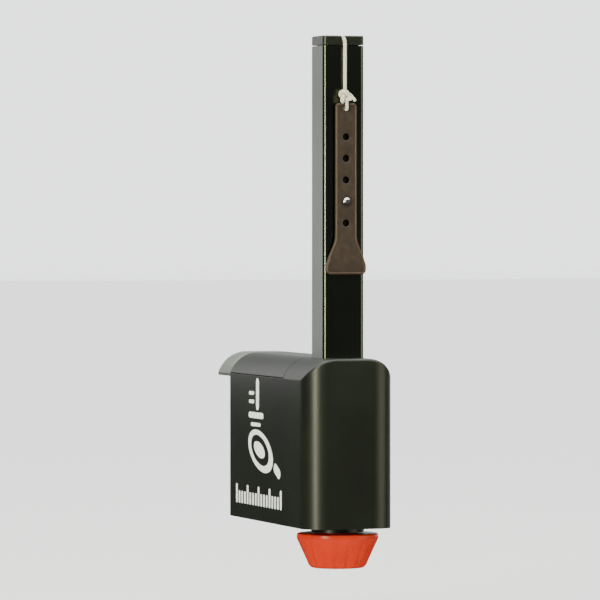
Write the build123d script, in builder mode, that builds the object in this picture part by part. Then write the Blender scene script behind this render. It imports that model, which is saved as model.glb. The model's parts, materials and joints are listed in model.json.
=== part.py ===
"""Table tennis net clamp: a cast frame grips the table's end rail and carries the net post.

The frame runs inside a black moulded housing whose rounded nose holds the post. The post slides in two
guides, and the orange knob under the nose lifts or lowers it with a screw. Behind the housing the top jaw
lies on the rail and a hand screw presses a pad up under it. A cord runs over the post's cap to a strap with
holes, which hooks on a peg on the post's outer face.

Millimetres. X runs across the net, +Y points inwards over the table, +Z is up.
The origin is the centre of the rubber face that rests on the rail.
"""
from math import asin, cos, degrees, pi, radians, sin
import os

from build123d import *

# Housing, from the nose to the face that butts against the rail
housing_width = 46.0
housing_length = 126.0
housing_height = 83.0
nose_radius = 12.0
shoulder_radius = 16.0
shoulder_angle = 70.0
wall = 2.6
seam_from_nose = 38.5
slit = 0.5
rim_fillet = 1.5

# Jaws and the rail between them
seat_depth = 38.0
seat_rubber = 2.0
jaw_height = 12.0
saddle_depth = 20.0
tongue_width = 24.0
tongue_height = 8.0
rail_at_rest = 18.0
lower_jaw_top = -36.5
lower_jaw_height = 10.0
lower_jaw_width = 20.0

# Post
post_width = 21.0
post_depth = 20.0
post_rise = 157.4
post_wall = 2.0
post_corner = 2.0
tube_bottom = -28.0
cap_height = 4.5
cap_slit = 0.4
net_groove_radius = 2.8
net_slot = 2.6

# Height screw and its knob
spindle_radius = 4.0
screw_play = 0.07
knob_radius = 20.1
knob_foot_radius = 14.2
knob_height = 17.0
neck_radius = 10.0
neck_height = 3.0
neck_ring_width = 2.4
neck_ring_gap = 0.6

# Tension cord and strap
cord_radius = 0.9
cord_bend = 3.0
strap_width = 11.0
strap_thickness = 1.8
strap_standoff = 1.8
hole_pitch = 10.5
peg_below_top = 81.0
peg_radius = 1.4

# Clamping screw
clamp_radius = 5.0
pad_radius = 10.0
thumb_height = 12.0
thumb_top = -58.0

# Where things are, from the sizes above
half_width = housing_width / 2
top_z = seat_rubber + jaw_height
bottom_z = top_z - housing_height
rear_y = -seat_depth / 2
nose_y = rear_y - housing_length
post_y = nose_y + half_width
seam_y = nose_y + seam_from_nose
post_top = top_z + post_rise
tube_top = post_top - cap_height - cap_slit
post_face_y = post_y - post_depth / 2
post_back_y = post_y + post_depth / 2
shoulder_x = half_width - shoulder_radius * sin(radians(shoulder_angle))
side_top_z = top_z - shoulder_radius * (1 - cos(radians(shoulder_angle)))
peg_z = post_top - peg_below_top
knob_top_z = bottom_z - neck_height
knob_bottom_z = knob_top_z - knob_height

# Inside the housing
floor_top = bottom_z + 9.0
cover_plate = 3.0
frame_bottom = bottom_z + cover_plate
web_x = 14.5
web_thickness = 5.0
web_top = -2.0
socket_width = 34.0
socket_top = 6.0
bush_width = 26.0
bush_depth = 25.0
bush_play = 0.15
rear_plate = 5.0
rear_inset = wall + 0.2

CENTRED_UP = (Align.CENTER, Align.CENTER, Align.MIN)
CENTRED_DOWN = (Align.CENTER, Align.CENTER, Align.MAX)
FROM_FRONT = (Align.CENTER, Align.MIN, Align.MIN)


def cross_section(y, inset, foot_z):
    """The housing's section across the net at y, drawn inset from its outside and cut off at foot_z."""
    reach = half_width - inset
    radius = shoulder_radius - inset
    turn = degrees(asin((reach - shoulder_x) / radius))
    with BuildSketch(Plane.XZ.offset(-y)) as section:
        with BuildLine():
            shoulder = CenterArc((shoulder_x, top_z - shoulder_radius), radius, 90 - turn, turn)
            Line(shoulder @ 1, (0, top_z - inset))
            Polyline(shoulder @ 0, (reach, foot_z), (0, foot_z))
            mirror(about=Plane.YZ)
        make_face()
    return section.sketch


def floor_plan(z, inset, rear):
    """The housing seen from above, with its rounded nose, drawn inset and ending at rear."""
    front = nose_y + inset
    with BuildSketch(Plane.XY.offset(z)) as plan:
        with Locations((0, front)):
            Rectangle(housing_width - 2 * inset, rear - front, align=(Align.CENTER, Align.MIN))
        fillet(plan.vertices().group_by(Axis.Y)[0], radius=nose_radius - inset)
    return plan.sketch


def housing_block(inset, foot_z):
    """The housing's whole outer form, or its hollow when inset, down to foot_z."""
    with BuildPart() as block:
        extrude(cross_section(rear_y, inset, foot_z), amount=housing_length - inset)
        extrude(floor_plan(foot_z, inset, rear_y), amount=top_z - foot_z, mode=Mode.INTERSECT)
    return block.part


def post_outline(z, grow):
    """The post's outer rectangle at height z, larger by grow on every side."""
    with BuildSketch(Plane.XY.offset(z)) as outline:
        with Locations((0, post_y)):
            RectangleRounded(post_width + 2 * grow, post_depth + 2 * grow, post_corner + grow)
    return outline.sketch


def pan_screw(radius, length, head_radius, head_height):
    """A cross-head screw with its head up, the underside of the head at the origin."""
    slot_width = radius * 0.5
    with BuildPart() as screw:
        Cylinder(head_radius, head_height, align=CENTRED_UP)
        fillet(screw.edges().group_by(Axis.Z)[-1], radius=head_height * 0.35)
        Cylinder(radius, length, align=CENTRED_DOWN)
        with Locations((0, 0, head_height)):
            Box(head_radius, slot_width, head_height, mode=Mode.SUBTRACT)
            Box(slot_width, head_radius, head_height, mode=Mode.SUBTRACT)
    return screw.part


def sunk_screw(radius, length, head_radius):
    """A countersunk cross-head screw with its flat head up at the origin."""
    head_height = head_radius - radius
    slot_width = radius * 0.5
    with BuildPart() as screw:
        Cone(radius, head_radius, head_height, align=CENTRED_DOWN)
        Cylinder(radius, length, align=CENTRED_DOWN)
        Box(head_radius, slot_width, head_height * 1.5, mode=Mode.SUBTRACT)
        Box(slot_width, head_radius, head_height * 1.5, mode=Mode.SUBTRACT)
    return screw.part


finished = {}


def finish_part(node, part):
    """Labels a piece and keeps it for writing."""
    part.label = node
    finished[node] = part


# ---------------------------------------------------------------- housing
opening_play = 0.5
side_screw_spots = [(-94.0, -31.0), (-42.0, -31.0)]
side_screw_radius = 1.5
side_head_radius = 3.0
side_sink = 1.4

with BuildPart() as body_shell:
    add(housing_block(0, bottom_z))
    nose_edges = body_shell.edges().filter_by(lambda edge: edge.center().Y < nose_y + nose_radius)
    fillet(nose_edges.filter_by(lambda edge: edge.center().Z > side_top_z + 0.1), radius=rim_fillet)
    add(housing_block(wall, bottom_z), mode=Mode.SUBTRACT)
    with Locations((0, seam_y, side_top_z)):
        Box(housing_width, rear_y - seam_y, housing_height, align=FROM_FRONT, mode=Mode.SUBTRACT)
    extrude(post_outline(top_z, opening_play), amount=-wall - 1.0, mode=Mode.SUBTRACT)
    for screw_y, screw_z in side_screw_spots:
        with BuildSketch(Plane.YZ.offset(half_width)) as side_hole:
            with Locations((screw_y, screw_z)):
                Circle(side_screw_radius + 0.1)
        extrude(amount=-wall, mode=Mode.SUBTRACT)
        with BuildSketch(Plane.YZ.offset(half_width)) as side_recess:
            with Locations((screw_y, screw_z)):
                Circle(side_head_radius + 0.2)
        extrude(amount=-side_sink, mode=Mode.SUBTRACT)
finish_part("body_shell", body_shell.part)

cover_lip = 1.3
cover_lip_depth = 4.0
cover_post_radius = 3.5
cover_screw_ys = (-90.0, -45.0)
cover_bottom = side_top_z + slit
cover_front = seam_y + slit
pilot_radius = 1.25

with BuildPart() as top_cover:
    extrude(cross_section(rear_y, 0, cover_bottom - cover_lip_depth), amount=rear_y - cover_front)
    extrude(
        cross_section(rear_y, wall, cover_bottom - cover_lip_depth),
        amount=rear_y - cover_front,
        mode=Mode.SUBTRACT,
    )
    with Locations((0, cover_front, cover_bottom - cover_lip_depth)):
        Box(housing_width, -cover_front + rear_y, cover_lip_depth, align=FROM_FRONT, mode=Mode.SUBTRACT)
    lip_length = rear_y - rear_plate - 1.0 - cover_front
    lip_x = half_width - wall - 0.2 - cover_lip / 2
    with Locations(
        *[(side * lip_x, cover_front, cover_bottom - cover_lip_depth) for side in (-1, 1)]
    ):
        Box(cover_lip, lip_length, cover_lip_depth + wall, align=FROM_FRONT)
    with Locations(*[(0, y, web_top) for y in cover_screw_ys]):
        Cylinder(cover_post_radius, top_z - wall - web_top + 0.5, align=CENTRED_UP)
        Cylinder(pilot_radius, 9.0, align=CENTRED_UP, mode=Mode.SUBTRACT)
finish_part("top_cover", top_cover.part)

boss_spots = [(side * web_x, y) for side in (-1, 1) for y in (-98.0, -32.0)]
foot_length = 12.0
sunk_radius = 1.5
sunk_head_radius = 2.9
knob_hole_radius = neck_radius + 0.6
cover_panel_width = 24.0
cover_panel_length = 64.0
cover_panel_depth = 0.8
cover_panel_y = (post_y + rear_y) / 2 + 8.0

with BuildPart() as bottom_cover:
    extrude(floor_plan(bottom_z, wall + 0.15, rear_y - rear_plate - 0.2), amount=cover_plate)
    with BuildSketch(Plane.XY.offset(bottom_z)) as cover_panel:
        with Locations((0, cover_panel_y)):
            RectangleRounded(cover_panel_width, cover_panel_length, 4.0)
    extrude(amount=cover_panel_depth, mode=Mode.SUBTRACT)
    with Locations((0, post_y, knob_top_z + neck_ring_gap)):
        Cylinder(
            knob_hole_radius + neck_ring_width,
            neck_height - neck_ring_gap + cover_plate,
            align=CENTRED_UP,
        )
        Cylinder(knob_hole_radius, 2 * cover_plate, align=CENTRED_UP, mode=Mode.SUBTRACT)
    with Locations(Plane.XY.offset(bottom_z) * Rotation(180, 0, 0)):
        with Locations(*[(x, -y) for x, y in boss_spots]):
            CounterSinkHole(sunk_radius + 0.1, sunk_head_radius + 0.1, depth=cover_plate)
finish_part("bottom_cover", bottom_cover.part)

# ---------------------------------------------------------------- cast frame
bush_hole_radius = 6.1
gusset = 12.0
casting_fillet = 3.0

with BuildPart() as clamp_frame:
    with Locations((0, post_y, frame_bottom)):
        Box(socket_width, socket_width, socket_top - frame_bottom, align=CENTRED_UP)
    fillet(clamp_frame.edges().filter_by(Axis.Z), radius=casting_fillet)
    with Locations((0, post_y, floor_top)):
        Box(bush_width, bush_depth, housing_height, align=CENTRED_UP, mode=Mode.SUBTRACT)
    with Locations((0, post_y, frame_bottom)):
        Cylinder(bush_hole_radius, floor_top - frame_bottom, align=CENTRED_UP, mode=Mode.SUBTRACT)
    web_start = post_y + socket_width / 2 - casting_fillet
    web_length = rear_y - rear_plate - web_start
    with Locations(*[(side * web_x, web_start, floor_top) for side in (-1, 1)]):
        Box(web_thickness, web_length, web_top - floor_top, align=FROM_FRONT)
    with Locations((0, web_start + casting_fillet, web_top - web_thickness)):
        Box(2 * web_x, web_length - casting_fillet, web_thickness, align=FROM_FRONT)
    with Locations(*[(x, y, frame_bottom) for x, y in boss_spots]):
        Box(web_thickness, foot_length, floor_top - frame_bottom + 4.0, align=CENTRED_UP)
        Cylinder(pilot_radius, 10.0, align=CENTRED_UP, mode=Mode.SUBTRACT)
    with Locations(*[(0, y, web_top) for y in cover_screw_ys]):
        Cylinder(side_screw_radius + 0.1, web_thickness, align=CENTRED_DOWN, mode=Mode.SUBTRACT)
    extrude(cross_section(rear_y, rear_inset, frame_bottom + 0.2), amount=rear_plate)
    extrude(cross_section(rear_y + saddle_depth, 0, seat_rubber), amount=saddle_depth)
    with BuildSketch(Plane.XY.offset(seat_rubber)) as tongue:
        with Locations((0, rear_y)):
            Rectangle(tongue_width, seat_depth, align=(Align.CENTER, Align.MIN))
        fillet(tongue.vertices().group_by(Axis.Y)[-1], radius=5.0)
    extrude(amount=tongue_height)
    with BuildSketch(Plane.XY.offset(lower_jaw_top)) as lower_jaw:
        Circle(lower_jaw_width / 2)
        Rectangle(lower_jaw_width, -rear_y, align=(Align.CENTER, Align.MAX))
    extrude(amount=-lower_jaw_height)
    with BuildSketch(Plane.YZ.offset(-lower_jaw_width / 2)) as lower_gusset:
        with BuildLine():
            jaw_foot = lower_jaw_top - lower_jaw_height
            Polyline(
                (rear_y, jaw_foot),
                (rear_y + gusset / 2, jaw_foot),
                (rear_y, jaw_foot - gusset),
                close=True,
            )
        make_face()
    extrude(amount=lower_jaw_width)
    with Locations((0, 0, lower_jaw_top)):
        Cylinder(
            clamp_radius + screw_play, lower_jaw_height, align=CENTRED_DOWN, mode=Mode.SUBTRACT
        )
    with BuildSketch(Plane.YZ.offset(web_x + web_thickness / 2)) as side_pilots:
        with Locations(*side_screw_spots):
            Circle(pilot_radius)
    extrude(amount=-web_thickness, mode=Mode.SUBTRACT)
finish_part("clamp_frame", clamp_frame.part)

seat_inset = 2.3
with BuildPart() as seat_pad:
    with BuildSketch() as seat_outline:
        RectangleRounded(tongue_width - 2 * seat_inset, seat_depth - 2 * seat_inset, 3.0)
    extrude(amount=seat_rubber)
finish_part("seat_pad", seat_pad.part)

# ---------------------------------------------------------------- guides for the post
collar_thickness = 1.6
collar_width = 30.0
upper_guide_bottom = -14.0
lower_guide_bottom = floor_top + 2.4
lower_guide_height = 18.0


def guide(z_bottom, height, collar):
    """A rectangular plastic sleeve that the post slides in, with a collar at its top if wanted."""
    with BuildPart() as sleeve:
        with Locations((0, post_y, z_bottom)):
            Box(bush_width - 0.1, bush_depth - 0.1, height, align=CENTRED_UP)
        if collar:
            with Locations((0, post_y, z_bottom + height)):
                Box(collar_width, collar_width, collar_thickness, align=CENTRED_UP)
        extrude(post_outline(z_bottom, bush_play), amount=height + collar_thickness, mode=Mode.SUBTRACT)
    return sleeve.part


finish_part("upper_post_guide", guide(upper_guide_bottom, socket_top - upper_guide_bottom, True))
finish_part("lower_post_guide", guide(lower_guide_bottom, lower_guide_height, False))

# ---------------------------------------------------------------- post
groove_y = post_back_y - post_wall + 0.4 - net_groove_radius
groove_wall = 1.4
groove_boss_width = 2 * (net_groove_radius + groove_wall)
groove_boss_front = groove_y - net_groove_radius - groove_wall
cavity_width = post_width - 2 * post_wall
cavity_front = post_face_y + post_wall
foot_pin_radius = 1.5
foot_pin_z = tube_bottom + 6.0
rivet_hole_radius = peg_radius + 0.02

with BuildPart() as post_tube:
    with BuildSketch(Plane.XY.offset(tube_bottom)) as post_section:
        with Locations((0, post_y)):
            RectangleRounded(post_width, post_depth, post_corner)
            RectangleRounded(cavity_width, post_depth - 2 * post_wall, 1.0, mode=Mode.SUBTRACT)
        with Locations((0, groove_boss_front)):
            Rectangle(
                groove_boss_width,
                post_back_y - post_wall - groove_boss_front + 0.5,
                align=(Align.CENTER, Align.MIN),
            )
        with Locations((0, groove_y)):
            Circle(net_groove_radius, mode=Mode.SUBTRACT)
            Rectangle(net_slot, post_depth, align=(Align.CENTER, Align.MIN), mode=Mode.SUBTRACT)
    extrude(amount=tube_top - tube_bottom)
    with BuildSketch(Plane.XZ.offset(-cavity_front)) as peg_hole:
        with Locations((0, peg_z)):
            Circle(rivet_hole_radius)
    extrude(amount=post_wall, mode=Mode.SUBTRACT)
    with Locations(Location((0, groove_boss_front - 3.0, foot_pin_z), (0, 90, 0))):
        Cylinder(foot_pin_radius + 0.02, post_width, mode=Mode.SUBTRACT)
finish_part("post_tube", post_tube.part)

spigot_play = 0.1


def spigot_outline(z):
    """The outline at height z that plugs the post's cavity in front of the net groove."""
    depth = groove_boss_front - cavity_front - 2 * spigot_play
    with BuildSketch(Plane.XY.offset(z)) as outline:
        with Locations((0, cavity_front + spigot_play + depth / 2)):
            RectangleRounded(cavity_width - 2 * spigot_play, depth, 1.0)
    return outline.sketch


lip_width = 10.0
lip_reach = 8.0
lip_height = 3.6
cord_slot = 2.6
cord_slot_depth = 2.0
cap_z = tube_top + cap_slit
spigot_depth = 10.0
cord_drop_y = post_back_y + lip_reach - 3.5

with BuildPart() as post_cap:
    extrude(post_outline(cap_z, 0), amount=cap_height)
    fillet(post_cap.edges().group_by(Axis.Z)[-1], radius=0.8)
    with Locations((0, post_y, post_top - lip_height)):
        Box(lip_width, post_depth / 2 + lip_reach, lip_height - 0.1, align=FROM_FRONT)
    lip_corners = post_cap.edges().filter_by(Axis.Z).filter_by_position(Axis.Y, post_back_y + 1, 0)
    fillet(lip_corners.group_by(Axis.Y)[-1], radius=2.0)
    extrude(spigot_outline(cap_z), amount=-spigot_depth)
    slot_floor = post_top - cord_slot_depth
    with BuildSketch(Plane.YZ.offset(-cord_slot / 2)) as slot_side:
        with BuildLine():
            Polyline(
                (post_face_y - 1.0, post_top),
                (post_face_y - 1.0, slot_floor - cord_bend),
                (post_face_y, slot_floor - cord_bend + 0.6),
            )
            TangentArc(
                (post_face_y, slot_floor - cord_bend + 0.6),
                (post_face_y + cord_bend - 0.6, slot_floor),
                tangent=(0, 1),
            )
            Polyline(
                (post_face_y + cord_bend - 0.6, slot_floor),
                (cord_drop_y - cord_bend, slot_floor),
            )
            TangentArc(
                (cord_drop_y - cord_bend, slot_floor),
                (cord_drop_y - cord_radius - 0.2, slot_floor - cord_bend + cord_radius + 0.2),
                tangent=(1, 0),
            )
            Polyline(
                (cord_drop_y - cord_radius - 0.2, slot_floor - cord_bend + cord_radius + 0.2),
                (cord_drop_y - cord_radius - 0.2, post_top - lip_height - 1.0),
                (post_back_y + lip_reach + 1.0, post_top - lip_height - 1.0),
                (post_back_y + lip_reach + 1.0, post_top),
                (post_face_y - 1.0, post_top),
            )
        make_face()
    extrude(amount=cord_slot, mode=Mode.SUBTRACT)
finish_part("post_cap", post_cap.part)

foot_height = 24.0
foot_spigot = 12.0
nut_radius = 6.0
nut_length = 20.0
nut_bottom = tube_bottom - foot_height
spindle_room = 22.5

with BuildPart() as post_foot:
    extrude(post_outline(nut_bottom, 0), amount=foot_height)
    extrude(spigot_outline(tube_bottom), amount=foot_spigot)
    with Locations((0, post_y, nut_bottom)):
        Cylinder(nut_radius, nut_length, align=CENTRED_UP, mode=Mode.SUBTRACT)
        Cylinder(spindle_radius + 0.5, spindle_room, align=CENTRED_UP, mode=Mode.SUBTRACT)
    with Locations(Location((0, groove_boss_front - 3.0, foot_pin_z), (0, 90, 0))):
        Cylinder(foot_pin_radius + 0.02, post_width, mode=Mode.SUBTRACT)
finish_part("post_foot", post_foot.part)

with BuildPart() as lift_nut:
    with Locations((0, post_y, nut_bottom)):
        Cylinder(nut_radius - 0.02, nut_length, align=CENTRED_UP)
        Cylinder(spindle_radius + screw_play, nut_length, align=CENTRED_UP, mode=Mode.SUBTRACT)
finish_part("lift_nut", lift_nut.part)

with BuildPart() as foot_pin:
    with Locations(Location((0, groove_boss_front - 3.0, foot_pin_z), (0, 90, 0))):
        Cylinder(foot_pin_radius, post_width - 0.4)
finish_part("foot_pin", foot_pin.part)

# ---------------------------------------------------------------- height screw and knob
spindle_top = -35.0
spindle_bottom = knob_bottom_z + 5.5
ring_z = floor_top + 1.1
ring_thickness = 1.0
ring_groove = 0.5
tapped_radius = 2.0
tapped_depth = 9.0

with BuildPart() as height_spindle:
    with Locations((0, post_y, spindle_bottom)):
        Cylinder(spindle_radius, spindle_top - spindle_bottom, align=CENTRED_UP)
    chamfer(height_spindle.edges().group_by(Axis.Z)[-1], length=0.8)
    with Locations((0, post_y, spindle_bottom)):
        Cylinder(tapped_radius + 0.02, tapped_depth, align=CENTRED_UP, mode=Mode.SUBTRACT)
    with BuildSketch(Plane.XY.offset(ring_z)) as groove_ring:
        with Locations((0, post_y)):
            Circle(spindle_radius + 1.0)
            Circle(spindle_radius - ring_groove, mode=Mode.SUBTRACT)
    extrude(amount=ring_thickness, mode=Mode.SUBTRACT)
finish_part("height_spindle", height_spindle.part)

with BuildPart() as spindle_bush:
    with Locations((0, post_y, floor_top)):
        Cylinder(bush_hole_radius - 0.02, floor_top - frame_bottom, align=CENTRED_DOWN)
    with Locations((0, post_y, frame_bottom)):
        Cylinder(8.0, 1.4, align=CENTRED_DOWN)
    with Locations((0, post_y, floor_top)):
        Cylinder(spindle_radius + screw_play, 12.0, align=CENTRED_DOWN, mode=Mode.SUBTRACT)
finish_part("spindle_bush", spindle_bush.part)

with BuildPart() as thrust_washer:
    with Locations((0, post_y, floor_top + 0.05)):
        Cylinder(8.0, 1.0, align=CENTRED_UP)
        Cylinder(spindle_radius + screw_play, 1.0, align=CENTRED_UP, mode=Mode.SUBTRACT)
finish_part("thrust_washer", thrust_washer.part)

with BuildPart() as retaining_ring:
    with BuildSketch(Plane.XY.offset(ring_z)) as ring_shape:
        with Locations((0, post_y)):
            Circle(spindle_radius + 2.0)
            Circle(spindle_radius - ring_groove + 0.02, mode=Mode.SUBTRACT)
            Rectangle(4.0, 8.0, align=(Align.CENTER, Align.MIN), mode=Mode.SUBTRACT)
    extrude(amount=ring_thickness)
finish_part("retaining_ring", retaining_ring.part)

flute_count = 16
flute_radius = 2.2
knob_web = 2.0
screw_well_radius = 5.0

with BuildPart() as height_knob:
    with BuildSketch(Plane.XZ.offset(-post_y)) as knob_profile:
        with BuildLine():
            Polyline(
                (0, frame_bottom - 1.5),
                (neck_radius, frame_bottom - 1.5),
                (neck_radius, knob_top_z),
                (knob_radius - 1.2, knob_top_z),
                (knob_radius, knob_top_z - 1.0),
                (knob_radius, knob_top_z - 2.4),
                (knob_foot_radius, knob_bottom_z + 1.6),
                (knob_foot_radius - 1.6, knob_bottom_z),
                (0, knob_bottom_z),
                close=True,
            )
        make_face()
    revolve(axis=Axis((0, post_y, 0), (0, 0, 1)))
    with BuildSketch(Plane.XY.offset(knob_top_z - 3.4)) as flute_tops:
        with Locations((0, post_y)):
            with PolarLocations(knob_radius + 1.3, flute_count):
                Circle(0.9)
    with BuildSketch(Plane.XY.offset(knob_bottom_z - 0.5)) as flute_feet:
        with Locations((0, post_y)):
            with PolarLocations(knob_foot_radius + 1.0, flute_count):
                Circle(flute_radius)
    flutes = [
        loft([top_face, foot_face], mode=Mode.PRIVATE)
        for top_face, foot_face in zip(flute_tops.sketch.faces(), flute_feet.sketch.faces())
    ]
    add(flutes, mode=Mode.SUBTRACT)
    with Locations((0, post_y, spindle_bottom)):
        Cylinder(spindle_radius + 0.02, 2 * knob_height, align=CENTRED_UP, mode=Mode.SUBTRACT)
        Cylinder(tapped_radius + 0.2, knob_height, align=CENTRED_DOWN, mode=Mode.SUBTRACT)
    with Locations((0, post_y, knob_bottom_z)):
        Cylinder(
            screw_well_radius,
            spindle_bottom - knob_web - knob_bottom_z,
            align=CENTRED_UP,
            mode=Mode.SUBTRACT,
        )
finish_part("height_knob", height_knob.part)

head_down = Location((0, post_y, spindle_bottom - knob_web), (180, 0, 0))
with BuildPart() as knob_screw:
    add(pan_screw(tapped_radius, 8.5, 4.0, 2.6).moved(head_down))
finish_part("knob_screw", knob_screw.part)

# ---------------------------------------------------------------- clamping screw
pad_top = -rail_at_rest
pad_rubber_height = 1.5
pad_disc = 3.0
pad_collar = 2.5
pad_bottom = pad_top - pad_rubber_height - pad_disc - pad_collar
tip_radius = 3.0
tip_top = pad_bottom + 4.0
thumb_bottom = thumb_top - thumb_height
thumb_lobes = 6
thumb_radius = 9.6

with BuildPart() as pad_rubber:
    with Locations((0, 0, pad_top)):
        Cylinder(pad_radius - 1.0, pad_rubber_height, align=CENTRED_DOWN)
    chamfer(pad_rubber.edges().group_by(Axis.Z)[-1], length=0.4)
finish_part("pad_rubber", pad_rubber.part)

with BuildPart() as clamp_pad:
    with Locations((0, 0, pad_top - pad_rubber_height)):
        Cylinder(pad_radius, pad_disc, align=CENTRED_DOWN)
    with Locations((0, 0, pad_bottom)):
        Cylinder(clamp_radius + 1.0, pad_collar, align=CENTRED_UP)
        Cylinder(tip_radius + screw_play, tip_top + 0.2 - pad_bottom, align=CENTRED_UP, mode=Mode.SUBTRACT)
    chamfer(clamp_pad.edges().group_by(Axis.Z)[-1], length=0.6)
finish_part("clamp_pad", clamp_pad.part)

with BuildPart() as clamp_screw:
    with Locations((0, 0, pad_bottom - 0.1)):
        Cylinder(clamp_radius, pad_bottom - 0.1 - thumb_bottom - 2.0, align=CENTRED_DOWN)
        Cylinder(tip_radius, tip_top - pad_bottom + 0.1, align=CENTRED_UP)
    chamfer(clamp_screw.edges().group_by(Axis.Z)[-1], length=0.6)
finish_part("clamp_screw", clamp_screw.part)

with BuildPart() as thumb_knob:
    with BuildSketch(Plane.XY.offset(thumb_bottom)) as star:
        Circle(thumb_radius)
        with PolarLocations(thumb_radius + 2.4, thumb_lobes, start_angle=180 / thumb_lobes):
            Circle(3.6, mode=Mode.SUBTRACT)
        fillet(star.vertices(), radius=1.2)
    extrude(amount=thumb_height)
    chamfer(thumb_knob.edges().group_by(Axis.Z)[-1], length=0.8)
    chamfer(thumb_knob.edges().group_by(Axis.Z)[0], length=0.8)
    with Locations((0, 0, thumb_bottom + 2.0)):
        Cylinder(clamp_radius + 0.02, thumb_height, align=CENTRED_UP, mode=Mode.SUBTRACT)
finish_part("thumb_knob", thumb_knob.part)

# ---------------------------------------------------------------- strap, peg and cord
strap_back_y = post_face_y - strap_standoff
strap_front_y = strap_back_y - strap_thickness
strap_mid_y = (strap_back_y + strap_front_y) / 2
strap_top_z = post_top - 33.0
strap_end_z = post_top - 116.6
flare_z = post_top - 97.7
ear_z = strap_end_z + 4.4
flare_half = 9.6
ear_half = 10.3
cord_hole_z = post_top - 35.7
strap_hole_radius = 1.7
peg_head_radius = 1.9

with BuildPart() as tension_strap:
    with BuildSketch(Plane.XZ.offset(-strap_back_y)) as strap_outline:
        with BuildLine():
            half_strap = strap_width / 2
            Line((0, strap_top_z), (half_strap - 2.0, strap_top_z))
            RadiusArc((half_strap - 2.0, strap_top_z), (half_strap, strap_top_z - 2.0), 2.0)
            Line((half_strap, strap_top_z - 2.0), (half_strap, flare_z))
            Spline(
                (half_strap, flare_z),
                (flare_half, ear_z + 2.0),
                tangents=((0, -1), (0.25, -1)),
            )
            Line((flare_half, ear_z + 2.0), (ear_half, ear_z))
            Line((ear_half, ear_z), (ear_half, ear_z - 2.0))
            RadiusArc((ear_half, ear_z - 2.0), (ear_half - 2.4, strap_end_z), 2.4)
            Line((ear_half - 2.4, strap_end_z), (0, strap_end_z))
            mirror(about=Plane.YZ)
        make_face()
        with Locations((0, peg_z), *[(0, peg_z + step * hole_pitch) for step in (-1, 1, 2, 3)]):
            Circle(strap_hole_radius, mode=Mode.SUBTRACT)
        with Locations((0, cord_hole_z)):
            Circle(1.4, mode=Mode.SUBTRACT)
    extrude(amount=strap_thickness)
finish_part("tension_strap", tension_strap.part)

with BuildPart() as tension_peg:
    with BuildSketch(Plane.YZ) as peg_profile:
        with BuildLine():
            inner_y = cavity_front
            Polyline(
                (inner_y + 0.8, peg_z),
                (inner_y + 0.8, peg_z + 2.2),
                (inner_y, peg_z + 2.5),
                (inner_y, peg_z + peg_radius),
                (post_face_y, peg_z + peg_radius),
                (post_face_y, peg_z + 3.0),
                (post_face_y - 1.4, peg_z + 3.0),
                (post_face_y - 1.4, peg_z + peg_radius),
                (strap_front_y - 0.2, peg_z + peg_radius),
                (strap_front_y - 0.2, peg_z + peg_head_radius),
                (strap_front_y - 0.9, peg_z + peg_head_radius),
                (strap_front_y - 1.7, peg_z + 1.0),
                (strap_front_y - 1.7, peg_z),
                close=True,
            )
        make_face()
    revolve(axis=Axis((0, 0, peg_z), (0, 1, 0)))
finish_part("tension_peg", tension_peg.part)

cord_face_y = post_face_y - cord_radius - 0.3
cord_top_z = slot_floor + cord_radius + 0.05
knot_z = post_top - 29.9
knot_half_width = 3.6
knot_half_height = 3.05
knot_y = strap_mid_y - 1.2
cord_end_z = knot_z + knot_half_height - 0.35
end_knot_z = post_top - lip_height - 3.4
end_knot_radius = 3.0


def knot(centre, half_width_x, half_height):
    """A knot's outer form: an ellipse turned about its long axis, which lies along X."""
    with BuildPart() as lump:
        with BuildSketch(Plane.XZ.offset(-centre[1])) as half_ellipse:
            with Locations((centre[0], centre[2])):
                Ellipse(half_width_x, half_height)
                Rectangle(
                    3 * half_width_x,
                    2 * half_height,
                    align=(Align.CENTER, Align.MAX),
                    mode=Mode.SUBTRACT,
                )
        revolve(axis=Axis(centre, (1, 0, 0)))
    return lump.part


cord_lead = 7.0
cord_bow = 0.06
easy_bend = 200.0
cord_points = [
    (0, cord_drop_y, end_knot_z + end_knot_radius - 0.3),
    (0, cord_drop_y, cord_top_z),
    (0, cord_drop_y - cord_lead, cord_top_z + cord_bow),
    (0, cord_face_y + cord_lead, cord_top_z + cord_bow),
    (0, cord_face_y, cord_top_z),
    (0, cord_face_y - cord_bow, cord_top_z - cord_lead),
    (0, cord_face_y, cord_end_z),
]

cord_bends = [cord_bend, easy_bend, easy_bend, cord_bend, easy_bend]

with BuildPart() as net_cord:
    with BuildLine():
        cord_route = FilletPolyline(*cord_points, radius=cord_bends)
    with BuildSketch(Plane(cord_route @ 0, z_dir=cord_route % 0)):
        Circle(cord_radius)
    sweep()
print("cord bends", cord_bends, "length", round(cord_route.length, 1))
section_area = pi * cord_radius**2
print("cord volume", round(net_cord.part.volume, 1), "of", round(section_area * cord_route.length, 1))

finish_part("cord_knot", knot((0, knot_y, knot_z), knot_half_width, knot_half_height))

with BuildPart() as back_knot:
    add(knot((0, cord_drop_y, end_knot_z), end_knot_radius + 0.4, end_knot_radius))
    add(net_cord.part, mode=Mode.SUBTRACT)
finish_part("cord_end_knot", back_knot.part)
finish_part("net_cord", net_cord.part)

loop_radius = 0.75
loop_half = strap_thickness / 2 + loop_radius + 0.05

with BuildPart() as cord_loop:
    with BuildLine():
        loop_route = FilletPolyline(
            (0, strap_mid_y + loop_half, strap_top_z - 0.2),
            (0, strap_mid_y + loop_half, cord_hole_z),
            (0, strap_mid_y - loop_half, cord_hole_z),
            (0, strap_mid_y - loop_half, strap_top_z - 0.2),
            radius=loop_radius + 0.1,
        )
    with BuildSketch(Plane(loop_route @ 0, z_dir=loop_route % 0)):
        Circle(loop_radius)
    sweep()
finish_part("cord_loop", cord_loop.part)

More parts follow.
